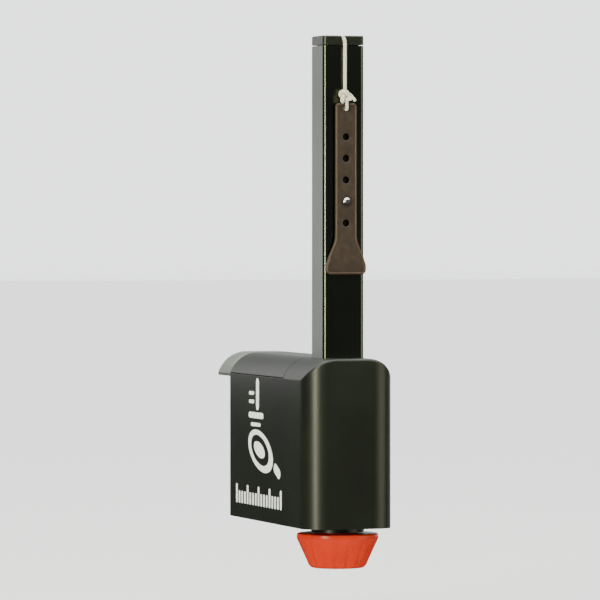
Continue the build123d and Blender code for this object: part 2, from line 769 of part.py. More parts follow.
# ---------------------------------------------------------------- screws in the housing
head_down_spots = [Location((x, y, bottom_z), (180, 0, 0)) for x, y in boss_spots]
with BuildPart() as bottom_cover_screws:
    for spot in head_down_spots:
        add(sunk_screw(sunk_radius - 0.3, 9.0, sunk_head_radius).moved(spot))
finish_part("bottom_cover_screws", bottom_cover_screws.part)

under_web = web_top - web_thickness
with BuildPart() as top_cover_screws:
    for screw_y in cover_screw_ys:
        place = Location((0, screw_y, under_web), (180, 0, 0))
        add(pan_screw(pilot_radius - 0.02, 12.0, 2.8, 2.0).moved(place))
finish_part("top_cover_screws", top_cover_screws.part)

with BuildPart() as side_screws:
    for screw_y, screw_z in side_screw_spots:
        place = Location((half_width - side_sink, screw_y, screw_z), (0, 90, 0))
        add(pan_screw(pilot_radius - 0.02, 9.0, side_head_radius, 1.3).moved(place))
finish_part("side_screws", side_screws.part)

os.makedirs("parts", exist_ok=True)
for node, part in finished.items():
    export_step(part, f"parts/{node}.step")
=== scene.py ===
import json
from math import cos, floor, pi, radians, sin, sqrt

import bmesh
import bpy
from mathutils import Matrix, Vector


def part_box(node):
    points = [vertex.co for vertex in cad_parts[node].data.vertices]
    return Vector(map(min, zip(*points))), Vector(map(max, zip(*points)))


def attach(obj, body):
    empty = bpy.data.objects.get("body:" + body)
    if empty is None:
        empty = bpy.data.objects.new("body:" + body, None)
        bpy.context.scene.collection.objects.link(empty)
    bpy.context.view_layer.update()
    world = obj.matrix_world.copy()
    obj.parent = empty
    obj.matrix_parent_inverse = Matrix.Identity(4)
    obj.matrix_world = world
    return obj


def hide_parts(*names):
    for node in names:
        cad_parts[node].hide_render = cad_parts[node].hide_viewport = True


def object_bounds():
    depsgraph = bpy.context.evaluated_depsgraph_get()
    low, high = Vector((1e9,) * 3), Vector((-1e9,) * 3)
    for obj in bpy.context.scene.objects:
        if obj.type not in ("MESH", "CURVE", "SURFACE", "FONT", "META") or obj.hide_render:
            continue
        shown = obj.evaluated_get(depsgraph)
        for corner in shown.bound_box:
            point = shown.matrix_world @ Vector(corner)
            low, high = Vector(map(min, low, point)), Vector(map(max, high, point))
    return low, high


mm = 0.001

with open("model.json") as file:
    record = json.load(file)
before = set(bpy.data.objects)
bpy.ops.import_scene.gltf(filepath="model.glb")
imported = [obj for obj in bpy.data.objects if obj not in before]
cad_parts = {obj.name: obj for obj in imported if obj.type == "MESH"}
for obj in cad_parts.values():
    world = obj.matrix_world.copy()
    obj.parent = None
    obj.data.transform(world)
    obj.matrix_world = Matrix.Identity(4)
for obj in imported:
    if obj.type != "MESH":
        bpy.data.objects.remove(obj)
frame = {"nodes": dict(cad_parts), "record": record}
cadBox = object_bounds()
print("frame loaded:", len(frame["nodes"]), "nodes")


def linearColour(hexText):
    values = [int(hexText[i:i + 2], 16) / 255 for i in (1, 3, 5)]
    return [v / 12.92 if v <= 0.04045 else ((v + 0.055) / 1.055) ** 2.4 for v in values] + [1.0]


def addNode(tree, kind, links=None, inputs=None, **settings):
    # links: input name or number to an output socket; inputs: the same to a plain value
    node = tree.nodes.new(kind)
    for key, value in settings.items():
        setattr(node, key, value)
    for key, value in (inputs or {}).items():
        node.inputs[key].default_value = value
    for key, socket in (links or {}).items():
        tree.links.new(socket, node.inputs[key])
    return node


def startMaterial(name, sockets):
    # sockets: the shader's own values, the same all over the surface
    material = bpy.data.materials.new(name)
    material.use_nodes = True
    tree = material.node_tree
    shader = tree.nodes["Principled BSDF"]
    for key, value in sockets.items():
        shader.inputs[key].default_value = value
    place = addNode(tree, "ShaderNodeTexCoord").outputs["Object"]
    return material, tree, shader, place


def layFinish(tree, shader, colour, gloss=None, relief=None):
    # colour: (pattern node, darker hex, lighter hex); gloss: (pattern node, lowest roughness, highest)
    # relief: (pattern node, bump strength, depth in mm)
    pattern, *shades = colour
    ramp = addNode(tree, "ShaderNodeValToRGB", links={"Fac": pattern.outputs[0]})
    for element, stop, shade in zip(ramp.color_ramp.elements, (0.3, 0.7), shades):
        element.position = stop         # noise seldom leaves this range
        element.color = linearColour(shade)
    tree.links.new(ramp.outputs["Color"], shader.inputs["Base Color"])
    if gloss:
        pattern, lowest, highest = gloss
        dulled = addNode(tree, "ShaderNodeMapRange", links={"Value": pattern.outputs[0]},
                         inputs={"To Min": lowest, "To Max": highest})
        tree.links.new(dulled.outputs["Result"], shader.inputs["Roughness"])
    if relief:
        pattern, strength, depth = relief
        bump = addNode(tree, "ShaderNodeBump", links={"Height": pattern.outputs[0]},
                       inputs={"Strength": strength, "Distance": depth * mm})
        tree.links.new(bump.outputs["Normal"], shader.inputs["Normal"])
        return bump


def mouldedAbs():
    # black ABS from a spark-textured mould: soft wide highlights with fine grain in them
    material, tree, shader, place = startMaterial("moulded black ABS", {"IOR": 1.54})
    grain = addNode(tree, "ShaderNodeTexNoise", links={"Vector": place},
                    inputs={"Scale": 1 / (0.7 * mm), "Detail": 3.0})      # the real 0.1 mm is too fine to show
    cloud = addNode(tree, "ShaderNodeTexNoise", links={"Vector": place},
                    inputs={"Scale": 1 / (45 * mm), "Detail": 4.0})
    layFinish(tree, shader, (cloud, "#0b1006", "#131a0b"), (cloud, 0.34, 0.44), (grain, 0.25, 0.05))
    return material


def anodisedAluminium():
    # black anodised extrusion: dark metal with faint lines along its length from the die
    material, tree, shader, place = startMaterial("black anodised aluminium", {"Metallic": 1.0})
    along = addNode(tree, "ShaderNodeMapping", links={"Vector": place}, inputs={"Scale": (1.0, 1.0, 0.01)})
    lines = addNode(tree, "ShaderNodeTexNoise", links={"Vector": along.outputs["Vector"]},
                    inputs={"Scale": 1 / (0.5 * mm), "Detail": 4.0})
    cloud = addNode(tree, "ShaderNodeTexNoise", links={"Vector": place},
                    inputs={"Scale": 1 / (60 * mm), "Detail": 3.0})
    layFinish(tree, shader, (cloud, "#4b5046", "#5a6054"), (lines, 0.18, 0.3), (lines, 0.2, 0.02))
    return material


def mouldedNylon():
    # black glass-filled nylon: smoother than the housing, with a slight mottle of fibres at the skin
    material, tree, shader, place = startMaterial("moulded black nylon", {"IOR": 1.53})
    fibres = addNode(tree, "ShaderNodeTexNoise", links={"Vector": place},
                     inputs={"Scale": 1 / (1.2 * mm), "Detail": 5.0})
    layFinish(tree, shader, (fibres, "#11160b", "#1b2113"), (fibres, 0.3, 0.42), (fibres, 0.12, 0.04))
    return material


def mouldedPolypropylene():
    # orange polypropylene, deep and even in colour, with a clear shine and light handling scuffs
    material, tree, shader, place = startMaterial("moulded orange polypropylene",
                                                  {"IOR": 1.49, "Specular IOR Level": 0.3})
    cloud = addNode(tree, "ShaderNodeTexNoise", links={"Vector": place},
                    inputs={"Scale": 1 / (9 * mm), "Detail": 4.0})
    scuffs = addNode(tree, "ShaderNodeTexNoise", links={"Vector": place},
                     inputs={"Scale": 1 / (1.1 * mm), "Detail": 6.0})
    layFinish(tree, shader, (cloud, "#ac2000", "#ba2900"), (scuffs, 0.22, 0.36), (scuffs, 0.1, 0.05))
    return material


def castAluminium():
    # bead-blasted sand casting: even mid grey, pitted at the scale of a grain
    material, tree, shader, place = startMaterial("blasted cast aluminium", {"Metallic": 1.0})
    pits = addNode(tree, "ShaderNodeTexVoronoi", links={"Vector": place}, inputs={"Scale": 1 / (0.9 * mm)})
    cloud = addNode(tree, "ShaderNodeTexNoise", links={"Vector": place},
                    inputs={"Scale": 1 / (14 * mm), "Detail": 5.0})
    bump = layFinish(tree, shader, (cloud, "#7c8278", "#949a8e"), (cloud, 0.38, 0.52), (pits, 0.3, 0.08))
    soft = addNode(tree, "ShaderNodeBevel", inputs={"Radius": 0.5 * mm}, samples=4)      # worn edges
    tree.links.new(soft.outputs["Normal"], bump.inputs["Normal"])
    return material


def mouldedRubber():
    # dark nitrile rubber, dry and even, with bloom where it has been handled
    material, tree, shader, place = startMaterial("moulded nitrile rubber", {"IOR": 1.52})
    bloom = addNode(tree, "ShaderNodeTexNoise", links={"Vector": place},
                    inputs={"Scale": 1 / (3 * mm), "Detail": 6.0})
    layFinish(tree, shader, (bloom, "#171817", "#292a28"), (bloom, 0.62, 0.82), (bloom, 0.2, 0.06))
    return material


def naturalAcetal():
    # milky acetal, slightly waxy
    material, tree, shader, place = startMaterial("natural acetal", {"IOR": 1.48})
    cloud = addNode(tree, "ShaderNodeTexNoise", links={"Vector": place},
                    inputs={"Scale": 1 / (5 * mm), "Detail": 3.0})
    layFinish(tree, shader, (cloud, "#d3d0c6", "#e2dfd5"), (cloud, 0.34, 0.48))
    return material


def mouldedUrethane():
    # brown flexible polyurethane: a dull, slightly mottled skin
    material, tree, shader, place = startMaterial("brown flexible polyurethane", {"IOR": 1.5})
    mottle = addNode(tree, "ShaderNodeTexNoise", links={"Vector": place},
                     inputs={"Scale": 1 / (2.2 * mm), "Detail": 6.0})
    fine = addNode(tree, "ShaderNodeTexNoise", links={"Vector": place},
                   inputs={"Scale": 1 / (0.6 * mm), "Detail": 3.0})
    layFinish(tree, shader, (mottle, "#2b2016", "#36291b"), (mottle, 0.42, 0.6), (fine, 0.2, 0.05))
    return material


def rimHighlightUrethane():
    # the same plastic on the raised rim, painted lighter brown as a highlight along the strap's edge
    material, tree, shader, place = startMaterial("brown polyurethane with painted rim highlight", {"IOR": 1.5})
    mottle = addNode(tree, "ShaderNodeTexNoise", links={"Vector": place},
                     inputs={"Scale": 1 / (3 * mm), "Detail": 5.0})
    layFinish(tree, shader, (mottle, "#3f2f1f", "#4b3926"), (mottle, 0.3, 0.44))
    return material


def braidedPolyester():
    # off-white polyester yarn: bright, soft edged, a little grey in the grooves of the braid
    material, tree, shader, place = startMaterial("braided polyester cord", {
        "IOR": 1.45, "Roughness": 0.7, "Sheen Weight": 0.3, "Sheen Roughness": 0.4})
    yarn = addNode(tree, "ShaderNodeTexNoise", links={"Vector": place},
                   inputs={"Scale": 1 / (0.4 * mm), "Detail": 4.0})
    layFinish(tree, shader, (yarn, "#b4b197", "#dcd7bd"), relief=(yarn, 0.3, 0.05))
    return material


def zincPlatedSteel():
    # bright zinc over turned steel: cool grey, clouded by the plating bath
    material, tree, shader, place = startMaterial("zinc-plated steel", {"Metallic": 1.0})
    plating = addNode(tree, "ShaderNodeTexNoise", links={"Vector": place},
                      inputs={"Scale": 1 / (0.8 * mm), "Detail": 4.0})
    layFinish(tree, shader, (plating, "#b4b6b6", "#d0d1cf"), (plating, 0.2, 0.36))
    return material


def blackOxideSteel():
    # black oxide screws: near-black metal with an oily shine
    material, tree, shader, place = startMaterial("black oxide steel", {"Metallic": 1.0})
    oil = addNode(tree, "ShaderNodeTexNoise", links={"Vector": place},
                  inputs={"Scale": 1 / (1.0 * mm), "Detail": 4.0})
    layFinish(tree, shader, (oil, "#2b2c2b", "#454644"), (oil, 0.26, 0.42))
    return material


def sinteredBronze():
    # oil-filled bronze: warm dull brown metal with fine pores
    material, tree, shader, place = startMaterial("sintered bronze", {"Metallic": 1.0})
    pores = addNode(tree, "ShaderNodeTexNoise", links={"Vector": place},
                    inputs={"Scale": 1 / (0.5 * mm), "Detail": 5.0})
    layFinish(tree, shader, (pores, "#8f6a3a", "#b48a52"), (pores, 0.34, 0.5))
    return material


def polishedStainless():
    # polished stainless rivet: bright, with a thin haze of scratches
    material, tree, shader, place = startMaterial("polished stainless steel", {"Metallic": 1.0})
    haze = addNode(tree, "ShaderNodeTexNoise", links={"Vector": place},
                   inputs={"Scale": 1 / (0.7 * mm), "Detail": 3.0})
    layFinish(tree, shader, (haze, "#c2c0ba", "#dcdad4"), (haze, 0.14, 0.28))
    return material


def padPrintedInk():
    # white pad-printing ink: flat and slightly uneven in cover
    material, tree, shader, place = startMaterial("white pad-printed ink", {"IOR": 1.5})
    cover = addNode(tree, "ShaderNodeTexNoise", links={"Vector": place},
                    inputs={"Scale": 1 / (1.5 * mm), "Detail": 5.0})
    layFinish(tree, shader, (cover, "#d4d6d0", "#eef0ec"), (cover, 0.48, 0.64))
    return material


finishes = {        # the record's material slots
    "black_abs": mouldedAbs(),
    "black_anodised": anodisedAluminium(),
    "black_nylon": mouldedNylon(),
    "orange_plastic": mouldedPolypropylene(),
    "cast_aluminium": castAluminium(),
    "grey_rubber": mouldedRubber(),
    "white_guide_plastic": naturalAcetal(),
    "brown_strap": mouldedUrethane(),
    "white_cord": braidedPolyester(),
    "zinc_steel": zincPlatedSteel(),
    "black_steel": blackOxideSteel(),
    "bronze": sinteredBronze(),
    "stainless": polishedStainless(),
}
# the rim's lighter brown is a painted edge highlight
rimHighlightFinish = rimHighlightUrethane()
inkFinish = padPrintedInk()
for entry in frame["record"]["subparts"]:
    for materialSlot in frame["nodes"][entry["node"]].material_slots:
        materialSlot.material = finishes[entry["material_slot"]]
print("materials done:", len(finishes) + 2)


def meshObject(name, vertices, faces):
    mesh = bpy.data.meshes.new(name)
    mesh.from_pydata([tuple(v) for v in vertices], [], faces)
    work = bmesh.new()
    work.from_mesh(mesh)
    bmesh.ops.remove_doubles(work, verts=work.verts, dist=0.002 * mm)
    bmesh.ops.recalc_face_normals(work, faces=work.faces)
    work.to_mesh(mesh)
    work.free()
    mesh.polygons.foreach_set("use_smooth", [True] * len(mesh.polygons))
    piece = bpy.data.objects.new(name, mesh)
    bpy.context.scene.collection.objects.link(piece)
    return piece


def finishPiece(piece, material, body, stands=()):
    # stands: the CAD nodes that the piece stands for
    piece.data.materials.clear()
    piece.data.materials.append(material)
    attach(piece, body)
    if stands:
        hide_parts(*stands)
    return piece


def sharpenEdges(piece, angle):
    piece.data.set_sharp_from_angle(angle=radians(angle))


def turnedMesh(name, profile, centre, steps, radiusAt=None):
    # a closed profile of (radius, height) in mm, turned about the vertical line through centre
    vertices, faces = [], []
    for k in range(steps):
        angle = 2 * pi * k / steps
        for radius, height in profile:
            reach = (radiusAt(radius, height, angle) if radiusAt else radius) * mm
            vertices.append((centre[0] + reach * cos(angle), centre[1] + reach * sin(angle), height * mm))
    count = len(profile)
    for k in range(steps):
        here, there = k * count, (k + 1) % steps * count
        for i in range(count - 1):
            faces.append((here + i, there + i, there + i + 1, here + i + 1))
    return meshObject(name, vertices, faces)


def roundedProfile(corners, curve=6):
    # corners: (radius, height, rounding); each corner becomes a short arc
    points = []
    for i, (r, z, rounding) in enumerate(corners):
        if rounding == 0 or i in (0, len(corners) - 1):
            points.append((r, z))
            continue
        here = Vector((r, z))
        before = (Vector(corners[i - 1][:2]) - here).normalized() * rounding
        after = (Vector(corners[i + 1][:2]) - here).normalized() * rounding
        for k in range(curve + 1):
            t = k / curve
            spot = here + before * (1 - t) ** 2 + after * t ** 2
            points.append((spot.x, spot.y))
    return points


camera = {      # made before the cord
    "place": (-774, -2421, 84.5),       # mm, a hand's width above the housing's flat top
    "lens": 297,
    "sensor": 36,
    "clip": (0.05, 60),     # m
}
low, high = Vector(cadBox[0]), Vector(cadBox[1])
target = Vector((0.0, (low.y + high.y) / 2, (low.z + high.z) / 2))
cameraData = bpy.data.cameras.new("camera")
cameraData.lens = camera["lens"]
cameraData.sensor_width = camera["sensor"]
cameraData.clip_start, cameraData.clip_end = camera["clip"]
cameraObject = bpy.data.objects.new("camera", cameraData)
cameraObject.location = Vector(camera["place"]) * mm
cameraObject.rotation_euler = (target - cameraObject.location).to_track_quat("-Z", "Y").to_euler()
bpy.context.scene.collection.objects.link(cameraObject)
bpy.context.scene.camera = cameraObject


def routeLine(route):
    # the smooth line that the listed points pull into shape
    curve = bpy.data.curves.new("route", "CURVE")
    curve.dimensions = "3D"
    curve.resolution_u = 32
    spline = curve.splines.new("NURBS")
    spline.points.add(len(route) - 1)
    for point, spot in zip(spline.points, route):
        point.co = (spot[0] * mm, spot[1] * mm, spot[2] * mm, 1.0)
    spline.order_u = 3
    spline.use_endpoint_u = True
    holder = bpy.data.objects.new("route", curve)
    line = bpy.data.meshes.new_from_object(holder)
    points = [v.co.copy() for v in line.vertices]
    bpy.data.objects.remove(holder)
    return points


def evenPoints(points, step):
    lengths = [0.0]
    for a, b in zip(points, points[1:]):
        lengths.append(lengths[-1] + (b - a).length)
    count = max(8, round(lengths[-1] / step))
    spots, i = [], 0
    for k in range(count + 1):
        wanted = lengths[-1] * k / count
        while i < len(points) - 2 and lengths[i + 1] < wanted:
            i += 1
        share = (wanted - lengths[i]) / max(lengths[i + 1] - lengths[i], 1e-9)
        spots.append(points[i].lerp(points[i + 1], min(share, 1.0)))
    return spots, lengths[-1]


braid = {
    "sides": 28,
    "yarns": 4,         # in each of the two crossing families
    "step": 0.14,       # between rings of points along the cord
    "groove": 0.16,     # depth beside a yarn's crown, as a share of the radius
}


def braidedTube(name, points, radius, layLength=4.0):
    # two crossing families of yarn, over and under by turns; layLength is one full turn of a yarn
    spots, length = evenPoints(points, braid["step"] * mm)
    sides, yarns = braid["sides"], braid["yarns"]
    side = Vector((1, 0, 0))
    vertices, faces = [], []
    for k, spot in enumerate(spots):
        ahead = (spots[min(k + 1, len(spots) - 1)] - spots[max(k - 1, 0)]).normalized()
        side = (side - ahead * side.dot(ahead)).normalized()
        other = ahead.cross(side)
        along = length * k / (len(spots) - 1) / (layLength * mm) * yarns
        for j in range(sides):
            angle = 2 * pi * j / sides
            u, v = yarns * j / sides + along, yarns * j / sides - along
            over = (floor(u) + floor(v)) % 2
            crown = sin(pi * (v - floor(v))) if over else sin(pi * (u - floor(u)))
            reach = radius * mm * (1 - braid["groove"] + braid["groove"] * sqrt(max(crown, 0.0)))
            vertices.append(spot + side * cos(angle) * reach + other * sin(angle) * reach)
    for k in range(len(spots) - 1):
        for j in range(sides):
            a, b = k * sides + j, k * sides + (j + 1) % sides
            faces.append((a, b, b + sides, a + sides))
    faces.append(tuple(range(sides)))
    faces.append(tuple(range(len(vertices) - sides, len(vertices))))
    return meshObject(name, vertices, faces)


def knotLine(centre, halfWidth, halfHeight, halfDepth, steps=240):
    # an overhand knot pulled up into a lump: a three-lobed line with one lobe to the right
    points = []
    for k in range(steps + 1):
        t = 2 * pi * k / steps
        points.append(Vector((
            centre[0] - ((cos(t) - 2 * cos(2 * t)) / 3 + 0.16) * halfWidth,
            centre[1] - sin(3 * t) * halfDepth,
            centre[2] + (sin(t) + 2 * sin(2 * t)) / 2.75 * halfHeight,
        )) * mm)
    return points


cord = {
    "route": [          # the same points as in the part's source
        (0, -107.5, 167.1),
        (0, -107.5, 170.35),
        (0, -114.5, 170.41),
        (0, -126.2, 170.41),
        (0, -133.2, 170.35),
        (0, -133.26, 163.35),
        (0, -133.2, 144.2),
    ],
    "diameter": 1.8,
    "length": 52.6,
    "knots": {
        "cordKnot": {"node": "cord_knot", "centre": (0, -135.5, 141.6), "size": (3.0, 2.5, 1.6), "yarn": 1.0},
        "cordEndKnot": {"node": "cord_end_knot", "centre": (0, -107.5, 164.4), "size": (2.4, 1.9, 1.6),
                        "yarn": 0.95},
    },
    "knotLay": 4.4,
    "tail": [(0.8, -136.6, 141.4), (2.2, -137.7, 141.2), (3.2, -137.9, 140.4), (3.7, -137.4, 139.5)],
    "tailRadius": 0.765,
    "loop": [
        (0, -133.0, 140.2),
        (0, -133.0, 137.4),
        (0, -133.05, 135.2),
        (0, -136.4, 135.2),
        (0, -136.5, 137.4),
        (0, -136.2, 140.2),
    ],
    "loopRadius": 0.75,
    "thinLay": 3.4,     # of the loop and the tail
}
cordPath = routeLine(cord["route"])
cordPiece = braidedTube("netCord", cordPath, cord["diameter"] / 2)
finishPiece(cordPiece, finishes["white_cord"], "post", ["net_cord"])
for knotName, facts in cord["knots"].items():
    lump = braidedTube(knotName, knotLine(facts["centre"], *facts["size"]), facts["yarn"], cord["knotLay"])
    finishPiece(lump, finishes["white_cord"], "post", [facts["node"]])
cordLoop = braidedTube("cordLoop", routeLine(cord["loop"]), cord["loopRadius"], cord["thinLay"])
finishPiece(cordLoop, finishes["white_cord"], "post", ["cord_loop"])
cordTail = braidedTube("cordTail", routeLine(cord["tail"]), cord["tailRadius"], cord["thinLay"])
finishPiece(cordTail, finishes["white_cord"], "post")
print("cord done")


def arcPoints(centre, radius, start, end, steps=6):
    return [
        (centre[0] + radius * cos(radians(start + (end - start) * k / steps)),
         centre[1] + radius * sin(radians(start + (end - start) * k / steps)))
        for k in range(steps + 1)
    ]


def insetLoop(loop, distance):
    # moves each point of a loop inwards, for a loop that runs anticlockwise
    moved = []
    for i, here in enumerate(loop):
        before, after = loop[i - 1], loop[(i + 1) % len(loop)]
        first = Vector((here[0] - before[0], here[1] - before[1])).normalized()
        second = Vector((after[0] - here[0], after[1] - here[1])).normalized()
        inward = Vector((-first.y - second.y, first.x + second.x)).normalized()
        stretch = min(1 / max(inward.dot(Vector((-first.y, first.x))), 0.3), 2.0)
        moved.append((here[0] + inward.x * distance * stretch, here[1] + inward.y * distance * stretch))
    return moved


def plateMesh(name, loops, low, high, edge, put):
    # the first loop is the outside, the others are holes; put takes (across, up, out) in mm to the scene
    work = bmesh.new()
    layers = [(0.0, low), (0.0, high)]
    if edge > 0:        # the lower edge's rounding, then the upper's
        turns = [pi / 6 * k for k in range(4)]
        layers = [(edge * (1 - sin(t)), low + edge * (1 - cos(t))) for t in turns]
        layers += [(edge * (1 - cos(t)), high - edge * (1 - sin(t))) for t in turns]
    ends = []
    for loop in loops:
        rings = []
        for inset, height in layers:
            line = insetLoop(loop, inset) if inset > 0 else loop
            rings.append([work.verts.new(Vector(put(a, b, height)) * mm) for a, b in line])
        for lower, upper in zip(rings, rings[1:]):
            for i in range(len(lower)):
                j = (i + 1) % len(lower)
                work.faces.new((lower[i], lower[j], upper[j], upper[i]))
        ends.append((rings[0], rings[-1]))
    for end in (0, 1):
        border = []
        for ring in ends:
            verts = ring[end]
            for i in range(len(verts)):
                border.append(work.edges.get((verts[i], verts[(i + 1) % len(verts)])))
        bmesh.ops.triangle_fill(work, use_beauty=True, use_dissolve=False, edges=border)
    bmesh.ops.recalc_face_normals(work, faces=work.faces)
    mesh = bpy.data.meshes.new(name)
    work.to_mesh(mesh)
    work.free()
    mesh.polygons.foreach_set("use_smooth", [True] * len(mesh.polygons))
    piece = bpy.data.objects.new(name, mesh)
    bpy.context.scene.collection.objects.link(piece)
    sharpenEdges(piece, 50)
    return piece


def beadMesh(name, loop, radius, out, put, sides=10):
    # a round bead that follows a closed loop
    vertices, faces = [], []
    for k in range(sides):
        turn = 2 * pi * k / sides
        line = insetLoop(loop, radius * cos(turn))
        vertices.extend(Vector(put(a, b, out + radius * sin(turn))) * mm for a, b in line)
    count = len(loop)
    for k in range(sides):
        here, there = k * count, (k + 1) % sides * count
        for i in range(count):
            j = (i + 1) % count
            faces.append((here + i, here + j, there + j, there + i))
    return meshObject(name, vertices, faces)


strapLow, strapHigh = (corner / mm for corner in map(Vector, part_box("tension_strap")))
strap = {
    "halfWidth": 5.5,
    "topCorner": 2.0,
    "sideStep": 4,          # between points up the straight side
    "sidePoints": 16,
    "flareFrom": 73.7,
    "flareHalf": 9.6,
    "flarePoints": 10,
    "flareBend": 1.4,       # 0 is a plain bell, more holds the width near the ear
    "ear": 59.2,
    "earRound": 1.0,
    "footCorner": 2.4,
    "edge": 0.5,
    "rim": 0.4,             # radius of the raised bead
    "rimInset": 0.7,
    "faceSunk": 0.15,       # the plate's face under the full thickness, and the bead's centre under the face
    "holes": (79.9, 90.4, 100.9, 111.4, 121.9),
    "holeRadius": 1.7,
    "cordHole": 135.7,
    "cordHoleRadius": 1.4,
}


def strapOutline():
    half, foot, ear = strap["halfWidth"], strapHigh.x, strap["ear"]
    corner, heel, turn = strap["topCorner"], strap["footCorner"], strap["earRound"]
    right = arcPoints((foot - heel, strapLow.z + heel), heel, -90, 0)
    right += [(foot, ear - turn), (foot, ear), (foot - turn / 4, ear + turn)]
    drop = strap["flareFrom"] - ear - 2 * turn
    for k in range(strap["flarePoints"], 0, -1):
        share = k / strap["flarePoints"]
        swell = share ** 2 * (1 + strap["flareBend"] * (1 - share))
        right.append((half + (strap["flareHalf"] - half) * swell, strap["flareFrom"] - drop * share))
    right += [(half, strap["flareFrom"] + strap["sideStep"] * k) for k in range(strap["sidePoints"])]
    right += arcPoints((half - corner, strapHigh.z - corner), corner, 0, 90)
    return right + [(-a, b) for a, b in reversed(right)]


def ontoStrap(across, up, out):
    # out is counted from the strap's back towards the player at the post
    return (across, strapHigh.y - out, up)


def strapHole(height, radius):
    return arcPoints((0, height), radius, 360, 15, 23)


strapHoles = [strapHole(height, strap["holeRadius"]) for height in strap["holes"]]
strapHoles.append(strapHole(strap["cordHole"], strap["cordHoleRadius"]))
strapFace = strapHigh.y - strapLow.y - strap["faceSunk"]
strapPlate = plateMesh("tensionStrap", [strapOutline(), *strapHoles], 0.0, strapFace, strap["edge"], ontoStrap)
finishPiece(strapPlate, finishes["brown_strap"], "post", ["tension_strap"])
strapRim = beadMesh("strapRim", insetLoop(strapOutline(), strap["rimInset"]), strap["rim"],
                    strapFace - strap["faceSunk"], ontoStrap)
# the bead wears the lighter finish: a painted highlight along the strap's edge
finishPiece(strapRim, rimHighlightFinish, "post")
print("strap done")


knobLow, knobHigh = (corner / mm for corner in map(Vector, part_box("height_knob")))
knob = {
    "centre": ((knobLow.x + knobHigh.x) / 2, (knobLow.y + knobHigh.y) / 2),
    "radius": 20.1,
    "foot": 14.2,
    "neck": 10.0,
    "top": -72.0,
    "rim": 2.4,         # height of the plain rim over the flutes
    "bore": 4.03,
    "well": 5.0,        # for the screw's head
    "wellDepth": 3.5,
    "screwHole": 2.2,
    "boreStart": 5.5,
    "flutes": 16,
    "fluteDepth": 0.5,
    "fluteRunOut": 11.0,
    "conePoints": 10,
    "steps": 192,
}


def knobReach(radius, height, angle):
    down = (knob["top"] - knob["rim"] - 0.2 - height) / knob["fluteRunOut"]
    if radius < knob["foot"] - 1.8 or down <= 0:
        return radius
    scallop = max(0.0, cos(knob["flutes"] * angle)) ** 1.5
    return radius - knob["fluteDepth"] * scallop * min(1.0, down) ** 0.7


coneTop, coneFoot = knob["top"] - knob["rim"], knobLow.z + 1.6
knobSide = []
for step in range(1, knob["conePoints"]):
    share = step / knob["conePoints"]
    knobSide.append((knob["radius"] + (knob["foot"] - knob["radius"]) * share,
                     coneTop + (coneFoot - coneTop) * share, 0))
knobProfile = roundedProfile([
    (knob["bore"], knobHigh.z, 0),
    (knob["neck"], knobHigh.z, 0.5),
    (knob["neck"], knob["top"], 0.6),
    (knob["radius"] - 0.1, knob["top"], 0.9),
    (knob["radius"], coneTop, 0.8),
    *knobSide,
    (knob["foot"], knobLow.z + 1.4, 0.6),
    (knob["foot"] - 1.4, knobLow.z, 0.9),
    (knob["well"] + 0.9, knobLow.z, 0.5),
    (knob["well"], knobLow.z + 0.9, 0.3),
    (knob["well"], knobLow.z + knob["wellDepth"], 0),
    (knob["screwHole"], knobLow.z + knob["wellDepth"], 0),
    (knob["screwHole"], knobLow.z + knob["boreStart"], 0),
    (knob["bore"], knobLow.z + knob["boreStart"], 0),
    (knob["bore"], knobHigh.z, 0),
])
heightKnob = turnedMesh("heightKnob", knobProfile, [v * mm for v in knob["centre"]], knob["steps"], knobReach)
sharpenEdges(heightKnob, 40)
finishPiece(heightKnob, finishes["orange_plastic"], "height_knob", ["height_knob"])


clamp = {
    "radius": 5.0,
    "pitch": 2.0,
    "rowsPerTurn": 12,
    "threadDepth": 1.1,
    "crest": 0.17,          # half a crest's width, as a share of the pitch
    "flank": 0.13,
    "tip": 3.0,
    "padHub": 6.0,
    "padHubHeight": 2.5,
    "padRadius": 10.0,
    "rubberRadius": 9.0,
    "grooves": (2.4, 4.4, 6.4),     # inner radii of the rings cut in the gripping face
    "grooveDepth": 0.6,
    "lobes": 6,
    "lobeDepth": 1.9,
    "handleRadius": 9.6,
    "collar": 7.0,
}
screwLow, screwHigh = (corner / mm for corner in map(Vector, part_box("clamp_screw")))
handleLow, handleHigh = (corner / mm for corner in map(Vector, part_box("thumb_knob")))
padLow, padHigh = (corner / mm for corner in map(Vector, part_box("clamp_pad")))
shoulder = padLow.z - 0.1        # where the screw's tip starts


def threadReach(radius, height, angle):
    if radius < clamp["radius"] - 0.01 or height > shoulder - 1.2 or height < handleHigh.z + 0.5:
        return radius
    phase = (height / clamp["pitch"] - angle / (2 * pi)) % 1.0
    flank = min(1.0, max(0.0, (abs(phase - 0.5) - clamp["crest"]) / clamp["flank"]))
    return radius - clamp["threadDepth"] * (1 - flank)


threadTop, rowStep = shoulder - 1.0, clamp["pitch"] / clamp["rowsPerTurn"]
screwProfile = [
    (0.0, screwHigh.z),
    (clamp["tip"] - 0.5, screwHigh.z),
    (clamp["tip"], screwHigh.z - 0.5),
    (clamp["tip"], shoulder),
    (clamp["radius"] - 0.9, shoulder),
    (clamp["radius"], shoulder - 0.9),
]
for row in range(round((threadTop - handleHigh.z) / rowStep) + 1):
    screwProfile.append((clamp["radius"], threadTop - row * rowStep))
screwProfile += [(clamp["radius"], screwLow.z), (0.0, screwLow.z)]
clampScrew = turnedMesh("clampScrew", screwProfile, (0, 0), 72, threadReach)
sharpenEdges(clampScrew, 50)
finishPiece(clampScrew, finishes["zinc_steel"], "clamp_screw", ["clamp_screw"])


def handleReach(radius, height, angle):
    if radius < clamp["radius"] + 1.5:
        return radius
    valley = (0.5 - 0.5 * cos(clamp["lobes"] * angle)) ** 1.4
    return radius - clamp["lobeDepth"] * valley * (radius / clamp["handleRadius"]) ** 2


